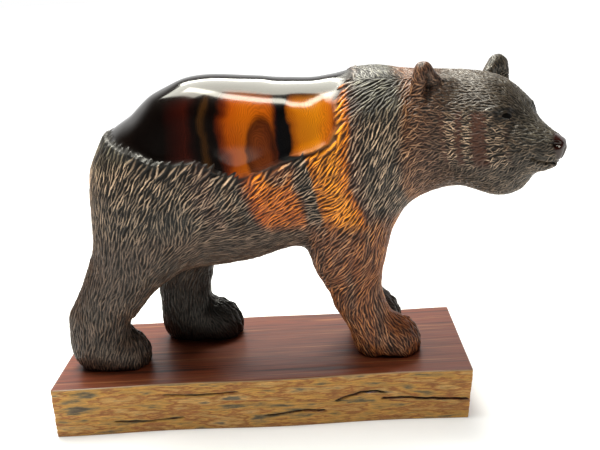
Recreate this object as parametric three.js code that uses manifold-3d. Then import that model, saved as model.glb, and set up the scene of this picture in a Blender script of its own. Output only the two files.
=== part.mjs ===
// A walking bear carved from one block of dark ironwood, standing on a rough-sawn block of the same wood.
// Millimetres, +X towards the bear's nose, +Y towards its left side, +Z up.
// The origin is the middle of the block's underside.
//
// The bear is built as a carver roughs it out: rounded masses are laid over each other, blended where
// they meet and hollowed where the gouge goes in. Each mass is a function that gives the distance from
// a point to its skin, and the skin of the sum is then turned into one closed mesh.

import * as THREE from 'three';
import Module from 'manifold-3d';
import { mergeVertices } from 'three/addons/utils/BufferGeometryUtils.js';

// Driving sizes

const BLOCK_LENGTH = 260;
const BLOCK_DEPTH = 85;
const BLOCK_HEIGHT = 34;
const BODY_MIDDLE_Y = 4;
const HEAD_TURN_DEG = -45;
const HEAD_ROLL_DEG = -3.5;
const HEAD_CENTRE = [128, -0.9, 172];
const SOLE_SINK = 8;
const BLOCK_FACETS = [8, 2, 1];
const END_LEAN = 2.5;
const SIDE_WANDER = 0.8;
const SIDE_BENDS = { along: 0.047, across: 0.05 };

// Small features of the head, in its own frame, and of the paws

const EYE = [37.8, 14.8, 13.4];
const EYE_RADII = [3.6, 3.6, 3.1];
const NOSTRIL = [64, 4.2, 0];
const NOSTRIL_RADII = [2.6, 2, 2];
const LIPS = { middle: [61, 0, -11], length: 18, width: 60, gap: 1.4, tip: 0.38 };
const GUMS = { middle: [47, 0, -6], radii: [14.5, 11, 9] };
const TOES = {
  gaps: [-0.6, -0.2, 0.2, 0.6],
  gap: 1.3,
  depth: 1.6,
  splay: 0.5,
  spread: 0.82,
  reach: [0.3, 1.4],
};

// Cell sizes of the carving's skin, and the room that its grid takes up along the bear and upwards. The
// grid changes from paws to body between two heights, and from body to head between two stations.

const BODY_CELL = 9.4;
const UPRIGHT_CELL = 7.3;
const HEAD_CELL = 4.75;
const PAW_CELL = 5.6;
const EAR_CELL = 3;
const EAR_REACH = 26;
const GRID = {
  rear: -146,
  withers: 88,
  nose: 188,
  floor: 14,
  ankle: 64,
  top: 224,
  across: 28,
  headMiddleY: -7,
  toPaws: [58, 104],
  toHead: [76, 104],
};
const PAW_GRID = { rear: -135, behind: -10, before: 50, front: 300, gapStep: 30 };

// Edges shorter than this, which the cuts leave, are taken out.

const SPLINTER = 0.05;

// Masses

const vec = (a) => new THREE.Vector3(a[0], a[1], a[2]);

const turned = (degrees) => new THREE.Quaternion().setFromEuler(
  new THREE.Euler(...degrees.map(THREE.MathUtils.degToRad)),
);

// An ellipsoid, turned by degrees about X, Y and Z.
function egg(centre, radii, turn = [0, 0, 0]) {
  const toLocal = new THREE.Matrix4().compose(vec(centre), turned(turn), vec([1, 1, 1])).invert();
  const q = new THREE.Vector3();
  return (p) => {
    q.copy(p).applyMatrix4(toLocal);
    const scaled = Math.hypot(q.x / radii[0], q.y / radii[1], q.z / radii[2]);
    const slope = Math.hypot(q.x / radii[0] ** 2, q.y / radii[1] ** 2, q.z / radii[2] ** 2);
    return slope > 0 ? (scaled * (scaled - 1)) / slope : -Math.min(...radii);
  };
}

// A tapered rod with round ends, from a to b, of radius ra to rb.
function rod(a, ra, b, rb) {
  const start = vec(a);
  const along = vec(b).sub(start);
  const length = along.length();
  along.divideScalar(length);
  const sine = (ra - rb) / length;
  const cosine = Math.sqrt(1 - sine * sine);
  const q = new THREE.Vector3();
  return (p) => {
    q.copy(p).sub(start);
    const h = q.dot(along);
    const out = Math.sqrt(Math.max(q.lengthSq() - h * h, 0));
    const k = h * cosine - out * sine;
    if (k < 0) return Math.hypot(out, h) - ra;
    if (k > length * cosine) return Math.hypot(out, h - length) - rb;
    return out * cosine + h * sine - ra;
  };
}

// A limb through stations of [x, y, z, radius], squeezed sideways about its own line.
function limb(stations, squeeze = 1, blend = 6) {
  const rods = [];
  for (let i = 0; i + 1 < stations.length; i += 1) {
    const [a, b] = [stations[i], stations[i + 1]];
    const flat = (s) => [s[0], s[1] / squeeze, s[2]];
    rods.push(rod(flat(a), a[3], flat(b), b[3]));
  }
  const q = new THREE.Vector3();
  return (p) => {
    q.set(p.x, p.y / squeeze, p.z);
    return rods.map((r) => r(q)).reduce((near, d) => softMin(near, d, blend));
  };
}

// The barrel of the body: oval sections at stations of [x, top, bottom, half width], closed at both ends
// by half ovals of the given lengths.
function barrel(stations, middleY, rearCap, frontCap) {
  const at = (x, column) => {
    const last = stations.length - 1;
    const i = Math.min(Math.max(stations.findIndex((s) => s[0] > x) - 1, 0), last - 1);
    const j = x >= stations[last][0] ? last - 1 : i;
    const [s0, s1] = [stations[j], stations[j + 1]];
    const t = THREE.MathUtils.clamp((x - s0[0]) / (s1[0] - s0[0]), 0, 1);
    const before = stations[Math.max(j - 1, 0)];
    const after = stations[Math.min(j + 2, last)];
    const span = s1[0] - s0[0];
    const m0 = (span * (s1[column] - before[column])) / (s1[0] - before[0]);
    const m1 = (span * (after[column] - s0[column])) / (after[0] - s0[0]);
    const rise = s1[column] - s0[column];
    return s0[column] + t * (m0 + t * (3 * rise - 2 * m0 - m1 + t * (m0 + m1 - 2 * rise)));
  };
  const rear = stations[0][0];
  const front = stations[stations.length - 1][0];
  return (p) => {
    const x = THREE.MathUtils.clamp(p.x, rear, front);
    const top = at(x, 1);
    const bottom = at(x, 2);
    const halfHeight = (top - bottom) / 2;
    const halfWidth = at(x, 3);
    const cap = p.x < rear ? rearCap : frontCap;
    const [dx, dy, dz] = [p.x - x, p.y - middleY, p.z - (top + bottom) / 2];
    const scaled = Math.hypot(dx / cap, dy / halfWidth, dz / halfHeight);
    const slope = Math.hypot(dx / cap ** 2, dy / halfWidth ** 2, dz / halfHeight ** 2);
    return slope > 0 ? (scaled * (scaled - 1)) / slope : -halfWidth;
  };
}

// Joining and hollowing

function softMin(a, b, blend) {
  const h = Math.max(blend - Math.abs(a - b), 0) / blend;
  return Math.min(a, b) - (h * h * blend) / 4;
}

const joined = (blend, ...masses) => (p) => masses.map((m) => m(p)).reduce((a, b) => softMin(a, b, blend));

const hollowed = (blend, mass, ...gouges) => (p) => gouges.reduce(
  (d, gouge) => -softMin(-d, gouge(p), blend),
  mass(p),
);

const placed = (centre, turn, mass) => {
  const toLocal = new THREE.Matrix4().compose(vec(centre), turned(turn), vec([1, 1, 1])).invert();
  const q = new THREE.Vector3();
  return (p) => mass(q.copy(p).applyMatrix4(toLocal));
};

// Body: [x, top, bottom, half width]

const trunk = barrel([
  [-70, 192, 108, 32],
  [-50, 206, 97, 35],
  [-25, 214, 94, 35.5],
  [5, 211.5, 98.5, 35],
  [35, 209, 108, 34.5],
  [60, 211.5, 114, 34],
  [80, 212, 121, 31],
], BODY_MIDDLE_Y, 24, 18);

const neck = limb([
  [76, BODY_MIDDLE_Y, 167, 40.5],
  [102, 2, 172.5, 37],
], 0.88, 10);

const chest = egg([70, BODY_MIDDLE_Y, 140], [17, 25, 30], [0, 20, 0]);

const haunch = (side) => egg([-62, BODY_MIDDLE_Y + side * 17, 138], [31.5, 20, 46], [0, 14, 0]);
const shoulder = (side) => egg([60, BODY_MIDDLE_Y + side * 17, 138], [24, 19, 44], [0, -8, 0]);

const tail = egg([-94.5, BODY_MIDDLE_Y, 157], [5.5, 6, 10], [0, 10, 0]);

// Legs: near is the bear's right side, towards -Y

const nearHind = limb([
  [-67, -12, 118, 27],
  [-88, -13, 88, 20],
  [-103.5, -13, 66, 17],
  [-107, -13, 50, 16.5],
], 0.75, 4);

const farHind = limb([
  [-55, 20, 118, 27],
  [-50, 21, 90, 20],
  [-52.5, 22, 68, 16.5],
  [-54, 22, 50, 16],
], 0.75, 4);

const nearFore = limb([
  [57, -11, 120, 24],
  [58.5, -12, 100, 22],
  [62, -13, 76, 15.5],
  [73, -13, 50, 14],
], 0.82, 4);

const farFore = limb([
  [57, 19, 118, 24],
  [59, 20, 98, 20],
  [64.5, 21, 74, 14],
  [71, 21, 50, 13],
], 0.82, 4);

// A paw from heel to toes along X, with its middle at y; the ball of the foot carries the toes.
const PAWS = [
  { heel: -119, toe: -72, y: -12.5, height: 33, halfWidth: 13.5 },
  { heel: -69, toe: -14.5, y: 22, height: 34.5, halfWidth: 13.5 },
  { heel: 60, toe: 102.5, y: -12.5, height: 32, halfWidth: 13.5 },
  { heel: 59, toe: 94.5, y: 21.5, height: 32, halfWidth: 13.5 },
];
const PAW_FLOOR = BLOCK_HEIGHT - SOLE_SINK;

const BALL = { length: 0.34, halfHeight: 0.55, middle: 0.45 };
const HEEL = { length: 0.36, halfHeight: 0.5, middle: 0.5, width: 0.86 };

function ballOf({ heel, toe, y, height, halfWidth }) {
  const reach = (toe - heel) * BALL.length;
  return {
    centre: [toe - reach, y, PAW_FLOOR + height * BALL.middle],
    radii: [reach, halfWidth, height * BALL.halfHeight],
  };
}

const paws = PAWS.map((paw) => {
  const { centre, radii } = ballOf(paw);
  const reach = (paw.toe - paw.heel) * HEEL.length;
  const heelBall = egg(
    [paw.heel + reach, paw.y, PAW_FLOOR + paw.height * HEEL.middle],
    [reach, paw.halfWidth * HEEL.width, paw.height * HEEL.halfHeight],
  );
  return joined(6, egg(centre, radii), heelBall);
});

// Head, in its own frame: +X out of the nose, +Y to its left, origin in the middle of the skull

const EAR_HEIGHT = 28;
const EARS = [
  { side: 1, ahead: 3, out: 32, halfWidth: 12, turn: -20 },
  { side: -1, ahead: -2, out: 31.5, halfWidth: 10, turn: -30 },
];
const EAR_LEAN = 14;
const ear = ({ side, halfWidth }) => hollowed(
  1.5,
  joined(4, egg([0, 0, -7], [6.4, halfWidth, 14]), egg([-0.5, side * 0.5, 5.5], [5.4, halfWidth * 0.66, 10])),
  egg([8.2, 0, -4], [7.5, halfWidth * 0.58, 12]),
);
const earInPlace = (place) => placed(
  [place.ahead, place.side * place.out, EAR_HEIGHT],
  [-place.side * EAR_LEAN, 0, place.turn],
  ear(place),
);
const earRoot = (side) => egg([0, side * 27, 20], [8, 9, 9]);

const skull = joined(
  12,
  egg([0, 0, 3.5], [36, 34.5, 32]),
  egg([18, 0, -9], [28, 31, 20]),
  egg([20, 0, 9], [20, 21, 22]),
);

const muzzle = limb([
  [32, 0, -1, 18],
  [47, 0, -4, 12.5],
  [57, 0, -5, 8.5],
], 1.1, 5);

const brow = (side) => egg([31, side * 13, 15], [8, 7, 5.5], [0, 25, side * 14]);
const pouch = egg([29.5, 0, -20.5], [16, 17, 13.5], [0, -6, 0]);
const noseTip = egg([60.5, 0, -0.5], [5.8, 7, 5]);
const chin = egg([52, 0, -10.5], [8, 7, 4.5], [0, 12, 0]);

const headToWorld = new THREE.Matrix4()
  .compose(vec(HEAD_CENTRE), turned([0, 0, HEAD_TURN_DEG]), vec([1, 1, 1]))
  .multiply(new THREE.Matrix4().makeRotationX(THREE.MathUtils.degToRad(HEAD_ROLL_DEG)));
const worldToHead = headToWorld.clone().invert();

function inHead(mass) {
  const q = new THREE.Vector3();
  return (p) => mass(q.copy(p).applyMatrix4(worldToHead));
}

const head = inHead(joined(
  4,
  joined(6, joined(8, skull, muzzle, brow(1), brow(-1)), pouch),
  noseTip,
  chin,
  earRoot(1),
  earRoot(-1),
));

const body = joined(
  14,
  trunk,
  neck,
  chest,
  haunch(1),
  haunch(-1),
  shoulder(1),
  shoulder(-1),
);

const legs = joined(5, joined(7, nearHind, paws[0]), joined(7, farHind, paws[1]),
  joined(7, nearFore, paws[2]), joined(7, farFore, paws[3]));

const bearMass = joined(8, joined(10, body, legs), head, tail);

// Coat: the strokes of fur run back, down and out from the nose. The saddle over the back, the end of the
// muzzle and the nose are polished or plain.

const COAT_RELIEF = 0.7;
const COAT_LIE = { back: -0.6, out: 0.5, down: -0.9 };
const SADDLE = { middleX: -18, halfLength: 72, edgeZ: 167, edgeRise: 8, lip: 3, ends: [0.95, 1.05] };
const PLAIN_MUZZLE = [38, 48];

function lieOfCoat(p) {
  const side = Math.sign(p.y - BODY_MIDDLE_Y);
  return vec([COAT_LIE.back, side * COAT_LIE.out, COAT_LIE.down]).normalize();
}

function coatRelief(p) {
  const { smoothstep } = THREE.MathUtils;
  const fromMiddle = Math.abs(p.x - SADDLE.middleX) / SADDLE.halfLength;
  const overEdge = p.z - SADDLE.edgeZ - SADDLE.edgeRise * fromMiddle ** 2;
  const belowEdge = 1 - smoothstep(overEdge, -SADDLE.lip, SADDLE.lip);
  const offSaddle = Math.max(belowEdge, smoothstep(fromMiddle, ...SADDLE.ends));
  const alongHead = p.clone().applyMatrix4(worldToHead).x;
  const offMuzzle = 1 - smoothstep(alongHead, ...PLAIN_MUZZLE);
  return COAT_RELIEF * offSaddle * offMuzzle;
}

function layCoat(mass, net) {
  net.points.forEach((point, n) => {
    const outward = slopeAt(mass, point).normalize();
    point.addScaledVector(outward, (net.raised[n] ? 1 : -1) * coatRelief(point));
  });
}

// Skin: a net of four-sided faces over the grid cells that the surface crosses

function gridLines(spans) {
  const lines = [spans[0].from];
  for (const { to, step } of spans) {
    const start = lines[lines.length - 1];
    const count = Math.round((to - start) / step);
    for (let i = 1; i <= count; i += 1) lines.push(start + ((to - start) * i) / count);
  }
  return lines;
}

// The corners of the grid. Its cells are small at the head and the paws and larger along the body, so
// the lines across the bear draw together as they run down to the paws or forward to the head.
function carvingGrid() {
  const { lerp, smoothstep } = THREE.MathUtils;
  const zs = gridLines([
    { from: GRID.floor, to: GRID.ankle, step: PAW_CELL },
    { to: GRID.top, step: UPRIGHT_CELL },
  ]);
  const along = gridLines([
    { from: GRID.rear, to: GRID.withers, step: BODY_CELL },
    { to: GRID.nose, step: HEAD_CELL },
  ]);
  const alongPaws = gridLines([
    { from: PAW_GRID.rear, to: PAW_GRID.behind, step: PAW_CELL },
    { to: PAW_GRID.before, step: PAW_GRID.gapStep },
    { to: PAW_GRID.front, step: PAW_CELL },
  ]);
  return {
    size: [along.length, GRID.across, zs.length],
    corner(i, j, k) {
      const z = zs[k];
      const low = 1 - smoothstep(z, ...GRID.toPaws);
      const ahead = smoothstep(along[i], ...GRID.toHead);
      const cell = lerp(lerp(BODY_CELL, HEAD_CELL, ahead), PAW_CELL, low);
      const middle = lerp(BODY_MIDDLE_Y, GRID.headMiddleY, ahead * (1 - low));
      const fromMiddle = j - (GRID.across - 1) / 2;
      return new THREE.Vector3(lerp(along[i], alongPaws[i], low), middle + fromMiddle * cell, z);
    },
  };
}

// The corners of a box of even cells around a centre.
function evenGrid(centre, reach, cell) {
  const count = Math.ceil((2 * reach) / cell) + 1;
  return {
    size: [count, count, count],
    corner: (i, j, k) => vec([i, j, k]).multiplyScalar(cell).subScalar(reach).add(centre),
  };
}

function skin(mass, grid) {
  const [nx, ny, nz] = grid.size;
  const at = (i, j, k) => (i * ny + j) * nz + k;
  const corners = [];
  for (let i = 0; i < nx; i += 1) {
    for (let j = 0; j < ny; j += 1) {
      for (let k = 0; k < nz; k += 1) corners.push(grid.corner(i, j, k));
    }
  }
  const corner = (i, j, k) => corners[at(i, j, k)].clone();
  const value = Float64Array.from(corners, mass);
  const step = [[1, 0, 0], [0, 1, 0], [0, 0, 1]];
  const points = [];
  const raised = [];
  const pointOf = new Int32Array(nx * ny * nz).fill(-1);
  const cellEdges = [];
  for (let axis = 0; axis < 3; axis += 1) {
    const [u, v] = [step[(axis + 1) % 3], step[(axis + 2) % 3]];
    for (const a of [0, 1]) {
      for (const b of [0, 1]) {
        const from = [0, 1, 2].map((n) => a * u[n] + b * v[n]);
        cellEdges.push([from, from.map((c, n) => c + step[axis][n])]);
      }
    }
  }
  for (let i = 0; i + 1 < nx; i += 1) {
    for (let j = 0; j + 1 < ny; j += 1) {
      for (let k = 0; k + 1 < nz; k += 1) {
        const sum = new THREE.Vector3();
        let crossings = 0;
        for (const [[ai, aj, ak], [bi, bj, bk]] of cellEdges) {
          const a = value[at(i + ai, j + aj, k + ak)];
          const b = value[at(i + bi, j + bj, k + bk)];
          if (a < 0 !== b < 0) {
            sum.add(corner(i + ai, j + aj, k + ak).lerp(corner(i + bi, j + bj, k + bk), a / (a - b)));
            crossings += 1;
          }
        }
        if (crossings) {
          pointOf[at(i, j, k)] = points.length;
          points.push(sum.divideScalar(crossings));
          raised.push((i + j + k) % 2 === 0);
        }
      }
    }
  }
  const quads = [];
  for (let i = 1; i + 1 < nx; i += 1) {
    for (let j = 1; j + 1 < ny; j += 1) {
      for (let k = 1; k + 1 < nz; k += 1) {
        for (let axis = 0; axis < 3; axis += 1) {
          const [s, u, v] = [step[axis], step[(axis + 1) % 3], step[(axis + 2) % 3]];
          const inside = value[at(i, j, k)] < 0;
          if (inside !== value[at(i + s[0], j + s[1], k + s[2])] < 0) {
            const back = (n, a, b) => a * u[n] + b * v[n];
            const cell = (a, b) => pointOf[at(i - back(0, a, b), j - back(1, a, b), k - back(2, a, b))];
            const ring = [cell(0, 0), cell(1, 0), cell(1, 1), cell(0, 1)];
            quads.push(inside ? ring : ring.reverse());
          }
        }
      }
    }
  }
  return { points, quads, raised };
}

const PROBE = 0.05;
const LEAST_STEEPNESS = 0.2;

// The direction in which the distance grows, with its rate.
function slopeAt(mass, point) {
  const p = new THREE.Vector3();
  const along = (axis) => {
    const ahead = mass(p.copy(point).addScaledVector(axis, PROBE));
    const behind = mass(p.copy(point).addScaledVector(axis, -PROBE));
    return (ahead - behind) / (2 * PROBE);
  };
  return vec([vec([1, 0, 0]), vec([0, 1, 0]), vec([0, 0, 1])].map(along));
}

// Moves a point onto the surface.
function settle(mass, point) {
  const slope = slopeAt(mass, point);
  const steepness = Math.max(slope.lengthSq(), LEAST_STEEPNESS);
  point.addScaledVector(slope, -mass(point) / steepness);
}

// Spreads the points evenly over the surface, then settles them on it.
function evenOut(mass, net, rounds, pull) {
  for (let round = 0; round < rounds; round += 1) {
    const sums = net.points.map(() => ({ sum: new THREE.Vector3(), count: 0 }));
    for (const quad of net.quads) {
      quad.forEach((a, n) => {
        const b = quad[(n + 1) % 4];
        sums[a].sum.add(net.points[b]);
        sums[a].count += 1;
      });
    }
    net.points.forEach((point, n) => point.lerp(sums[n].sum.divideScalar(sums[n].count), pull));
    net.points.forEach((point) => settle(mass, point));
  }
  net.points.forEach((point) => settle(mass, point));
}

// Solids

const wasm = await Module();
wasm.setup();

// Each four-sided face is folded along the diagonal that lies nearer to the lie of the coat.
function solidFromNet({ points, quads }) {
  const triangles = [];
  const along = (a, b) => {
    const edge = points[b].clone().sub(points[a]);
    return Math.abs(edge.dot(lieOfCoat(points[a]))) / edge.length();
  };
  for (const [a, b, c, d] of quads) {
    triangles.push(...(along(a, c) >= along(b, d) ? [a, b, c, a, c, d] : [a, b, d, b, c, d]));
  }
  return new wasm.Manifold(new wasm.Mesh({
    numProp: 3,
    vertProperties: new Float32Array(points.flatMap((p) => [p.x, p.y, p.z])),
    triVerts: new Uint32Array(triangles),
  }));
}

function solidFromGeometry(source) {
  const bare = source.clone();
  bare.deleteAttribute('normal');
  bare.deleteAttribute('uv');
  const geometry = mergeVertices(bare, 1e-4);
  return new wasm.Manifold(new wasm.Mesh({
    numProp: 3,
    vertProperties: new Float32Array(geometry.getAttribute('position').array),
    triVerts: new Uint32Array(geometry.index.array),
  }));
}

function geometryFromSolid(solid) {
  const mesh = solid.getMesh();
  const geometry = new THREE.BufferGeometry();
  geometry.setAttribute('position', new THREE.BufferAttribute(new Float32Array(mesh.vertProperties), 3));
  geometry.setIndex(new THREE.BufferAttribute(new Uint32Array(mesh.triVerts), 1));
  geometry.computeVertexNormals();
  return geometry;
}

// A round bead, stretched to the radii.
const bead = (centre, radii, detail = 1) => new THREE.IcosahedronGeometry(1, detail)
  .scale(...radii)
  .translate(...centre);

// Toes: thin plates upright between them, cut only as deep as a smaller ball of the foot leaves them.
// A plate starts ahead of the ankle and ends beyond the toes.
function toeCuts(paw) {
  const { centre, radii } = ballOf(paw);
  const inner = solidFromGeometry(bead(centre, radii.map((r) => r - TOES.depth)));
  const [start, end] = TOES.reach.map((part) => part * radii[0]);
  return TOES.gaps.map((across) => {
    const plate = new THREE.BoxGeometry(end - start, TOES.gap, radii[2] * 3)
      .rotateZ(across * TOES.splay)
      .translate(
        centre[0] + (start + end) / 2,
        centre[1] + across * radii[1] * TOES.spread,
        centre[2],
      );
    return solidFromGeometry(plate).subtract(inner);
  });
}

// Mouth: a plate through the muzzle, tipped down towards the front, cut as deep as the gums.
function mouthCut() {
  const plate = new THREE.BoxGeometry(LIPS.length, LIPS.width, LIPS.gap)
    .rotateY(LIPS.tip)
    .translate(...LIPS.middle)
    .applyMatrix4(headToWorld);
  const gums = bead(GUMS.middle, GUMS.radii).applyMatrix4(headToWorld);
  return solidFromGeometry(plate).subtract(solidFromGeometry(gums));
}

function bearSolid() {
  const net = skin(bearMass, carvingGrid());
  evenOut(bearMass, net, 4, 0.5);
  const earSolids = EARS.map((place) => {
    const mass = inHead(earInPlace(place));
    const centre = vec([place.ahead, place.side * place.out, EAR_HEIGHT]).applyMatrix4(headToWorld);
    const earNet = skin(mass, evenGrid(centre, EAR_REACH, EAR_CELL));
    evenOut(mass, earNet, 3, 0.5);
    return solidFromNet(earNet);
  });
  layCoat(bearMass, net);
  const eyes = [1, -1].map((side) => bead([EYE[0], side * EYE[1], EYE[2]], EYE_RADII, 2)
    .applyMatrix4(headToWorld));
  const nostrils = [1, -1].map((side) => bead([NOSTRIL[0], side * NOSTRIL[1], NOSTRIL[2]], NOSTRIL_RADII)
    .applyMatrix4(headToWorld));
  const below = solidFromGeometry(
    new THREE.BoxGeometry(BLOCK_LENGTH * 2, BLOCK_DEPTH * 3, BLOCK_HEIGHT).translate(0, 0, BLOCK_HEIGHT / 2),
  );
  const added = [...earSolids, ...eyes.map(solidFromGeometry)];
  const cuts = [...nostrils.map(solidFromGeometry), mouthCut(), ...PAWS.flatMap(toeCuts), below];
  const rough = added.reduce((sum, solid) => sum.add(solid), solidFromNet(net));
  return cuts.reduce((left, solid) => left.subtract(solid), rough).simplify(SPLINTER);
}

// The block is sawn by eye: its ends lean, and its long sides run a little out of true.
function plinthGeometry() {
  const geometry = new THREE.BoxGeometry(BLOCK_LENGTH, BLOCK_DEPTH, BLOCK_HEIGHT, ...BLOCK_FACETS);
  geometry.translate(0, 0, BLOCK_HEIGHT / 2);
  const position = geometry.getAttribute('position');
  for (let i = 0; i < position.count; i += 1) {
    const [x, y, z] = [position.getX(i), position.getY(i), position.getZ(i)];
    const down = 1 - z / BLOCK_HEIGHT;
    const lean = down * (x > 0 ? END_LEAN : END_LEAN / 2) * (Math.abs(x) / BLOCK_LENGTH) * 2;
    const bend = Math.sin(x * SIDE_BENDS.along + y * SIDE_BENDS.across);
    const wander = SIDE_WANDER * bend * Math.abs(y / BLOCK_DEPTH) * 2;
    position.setX(i, x - lean);
    position.setY(i, y + wander);
  }
  return mergeVertices(geometry.deleteAttribute('normal').deleteAttribute('uv'), 1e-4);
}

const darkWood = new THREE.MeshStandardMaterial({ color: 0x3a2417, roughness: 0.45, metalness: 0 });
const sawnWood = new THREE.MeshStandardMaterial({ color: 0x7a5530, roughness: 0.7, metalness: 0 });

const carving = new THREE.Group();

const bear = new THREE.Mesh(geometryFromSolid(bearSolid()), darkWood);
bear.name = 'bear';
carving.add(bear);

const plinth = new THREE.Mesh(plinthGeometry(), sawnWood);
plinth.name = 'plinth';
carving.add(plinth);

export default carving;
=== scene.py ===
import math

import bpy
import numpy as np
from mathutils import Matrix, Vector, noise
from mathutils.kdtree import KDTree


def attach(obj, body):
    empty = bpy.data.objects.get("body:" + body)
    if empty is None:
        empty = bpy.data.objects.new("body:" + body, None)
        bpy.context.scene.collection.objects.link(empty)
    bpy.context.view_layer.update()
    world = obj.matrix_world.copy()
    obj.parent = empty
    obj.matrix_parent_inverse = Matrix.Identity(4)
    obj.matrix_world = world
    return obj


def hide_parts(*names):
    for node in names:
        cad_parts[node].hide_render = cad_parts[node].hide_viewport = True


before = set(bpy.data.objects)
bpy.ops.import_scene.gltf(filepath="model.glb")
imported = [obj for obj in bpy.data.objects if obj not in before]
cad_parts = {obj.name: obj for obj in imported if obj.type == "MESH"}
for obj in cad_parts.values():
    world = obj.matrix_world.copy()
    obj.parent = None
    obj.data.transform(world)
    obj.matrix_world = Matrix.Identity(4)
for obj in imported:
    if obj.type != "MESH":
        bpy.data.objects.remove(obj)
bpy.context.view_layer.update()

# Camera: it stands in front of the block's long side, a little to the right of its middle, looks down
# on the carving by 20 degrees and leans to one side by 4 degrees.

CAMERA_AT = (0.044, -0.413, 0.265)
CAMERA_PITCH = math.radians(19.6)
CAMERA_LEAN = math.radians(-3.94)
CAMERA_TURN = math.radians(1.99)
FOCAL_MM = 42
SENSOR_MM = 36

camera_data = bpy.data.cameras.new("camera")
camera_data.lens = FOCAL_MM
camera_data.sensor_width = SENSOR_MM
camera = bpy.data.objects.new("camera", camera_data)
bpy.context.scene.collection.objects.link(camera)
camera.matrix_world = (
    Matrix.Translation(CAMERA_AT)
    @ Matrix.Rotation(CAMERA_TURN, 4, "Z")
    @ Matrix.Rotation(math.pi / 2 - CAMERA_PITCH, 4, "X")
    @ Matrix.Rotation(CAMERA_LEAN, 4, "Z")
)
bpy.context.scene.camera = camera

# Bear: carved from one block of desert ironwood with gouges, rasps and a veiner. This is its bare form,
# before the face and the fur are cut. It starts as a copy of the solid that the machine knows.

MM = 0.001
SOLE_Z = 34
MERGE_WITHIN = 0.02 * MM
COARSE_SMOOTHING = 0.75
FINE_CELL = 0.45 * MM
ALL_OVER_PASSES = 12
BACK_PASSES, BACK_ABOVE_Z, BACK_BEHIND_X = 60, 172, 76
PAW_PASSES, PAWS_BELOW_Z, ABOVE_SOLE = 14, 66, 0.6


def pick_only(obj):
    """The object alone is selected and active."""
    bpy.ops.object.select_all(action="DESELECT")
    obj.select_set(True)
    bpy.context.view_layer.objects.active = obj


def apply_modifier(obj, kind, **settings):
    """Adds a modifier with its settings and applies it."""
    pick_only(obj)
    modifier = obj.modifiers.new(kind.lower(), kind)
    for name, value in settings.items():
        setattr(modifier, name, value)
    bpy.ops.object.modifier_apply(modifier=modifier.name)


def points_of(obj):
    """The mesh's points in millimetres."""
    points = np.zeros(len(obj.data.vertices) * 3)
    obj.data.vertices.foreach_get("co", points)
    return points.reshape(-1, 3) / MM


def normals_of(obj):
    """The direction in which the skin faces at each of the mesh's points."""
    normals = np.zeros(len(obj.data.vertices) * 3)
    obj.data.vertices.foreach_get("normal", normals)
    return normals.reshape(-1, 3)


def move_points(obj, points):
    """Gives the mesh new places, in millimetres, for its points."""
    obj.data.vertices.foreach_set("co", (points * MM).ravel())
    obj.data.update()


def smoothstep(low, high, value):
    """0 at low, 1 at high and a soft rise between them. With low above high it falls."""
    share = np.clip((value - low) / (high - low), 0, 1)
    return share * share * (3 - 2 * share)


def smooth_where(obj, chosen, factor, iterations):
    """Smooths the points for which chosen is true."""
    group = obj.vertex_groups.new(name="chosen")
    group.add(np.nonzero(chosen)[0].tolist(), 1, "REPLACE")
    apply_modifier(obj, "SMOOTH", factor=factor, iterations=iterations, vertex_group="chosen")
    obj.vertex_groups.clear()


bear = bpy.data.objects.new("carved_bear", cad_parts["bear"].data.copy())
bpy.context.scene.collection.objects.link(bear)
pick_only(bear)
bpy.ops.object.mode_set(mode="EDIT")
bpy.ops.mesh.select_all(action="SELECT")
bpy.ops.mesh.remove_doubles(threshold=MERGE_WITHIN)
bpy.ops.object.mode_set(mode="OBJECT")

# The solid's coarse coat rises and falls from point to point. One step of smoothing levels it. The soles
# stay where they are.

smooth_where(bear, points_of(bear)[:, 2] > SOLE_Z + 1, COARSE_SMOOTHING, 1)
pick_only(bear)
bpy.ops.object.mode_set(mode="EDIT")
bpy.ops.mesh.select_all(action="SELECT")
bpy.ops.mesh.tris_convert_to_quads(face_threshold=1.2, shape_threshold=1.2)
bpy.ops.object.mode_set(mode="OBJECT")
apply_modifier(bear, "SUBSURF", levels=2, render_levels=2)
apply_modifier(bear, "REMESH", mode="VOXEL", voxel_size=FINE_CELL)
apply_modifier(bear, "SMOOTH", factor=0.5, iterations=ALL_OVER_PASSES)
fine = points_of(bear)
smooth_where(bear, (fine[:, 2] > BACK_ABOVE_Z) & (fine[:, 0] < BACK_BEHIND_X), 0.5, BACK_PASSES)
smooth_where(bear, (fine[:, 2] < PAWS_BELOW_Z) & (fine[:, 2] > SOLE_Z + ABOVE_SOLE), 0.5, PAW_PASSES)
fine = points_of(bear)
fine_normals = normals_of(bear)

# The head's own frame: +X out of the nose, +Y to its left, its origin in the middle of the skull. The
# bear looks to its right by 45 degrees.

HEAD_AT = (128, -0.9, 172)
HEAD_TURN = math.radians(-45)
HEAD_TILT = math.radians(-3.5)

head_frame = (
    Matrix.Translation(HEAD_AT)
    @ Matrix.Rotation(HEAD_TURN, 4, "Z")
    @ Matrix.Rotation(HEAD_TILT, 4, "X")
)
to_head = np.array(head_frame.inverted())
from_head = np.array(head_frame)
in_head = fine @ to_head[:3, :3].T + to_head[:3, 3]

# Saddle: the carver left the back smooth, sanded it and polished it, a little below the fur. Its lower
# edge runs along the flank and up over the shoulder, as (x, z). In places it flares out to meet the fur.

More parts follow.
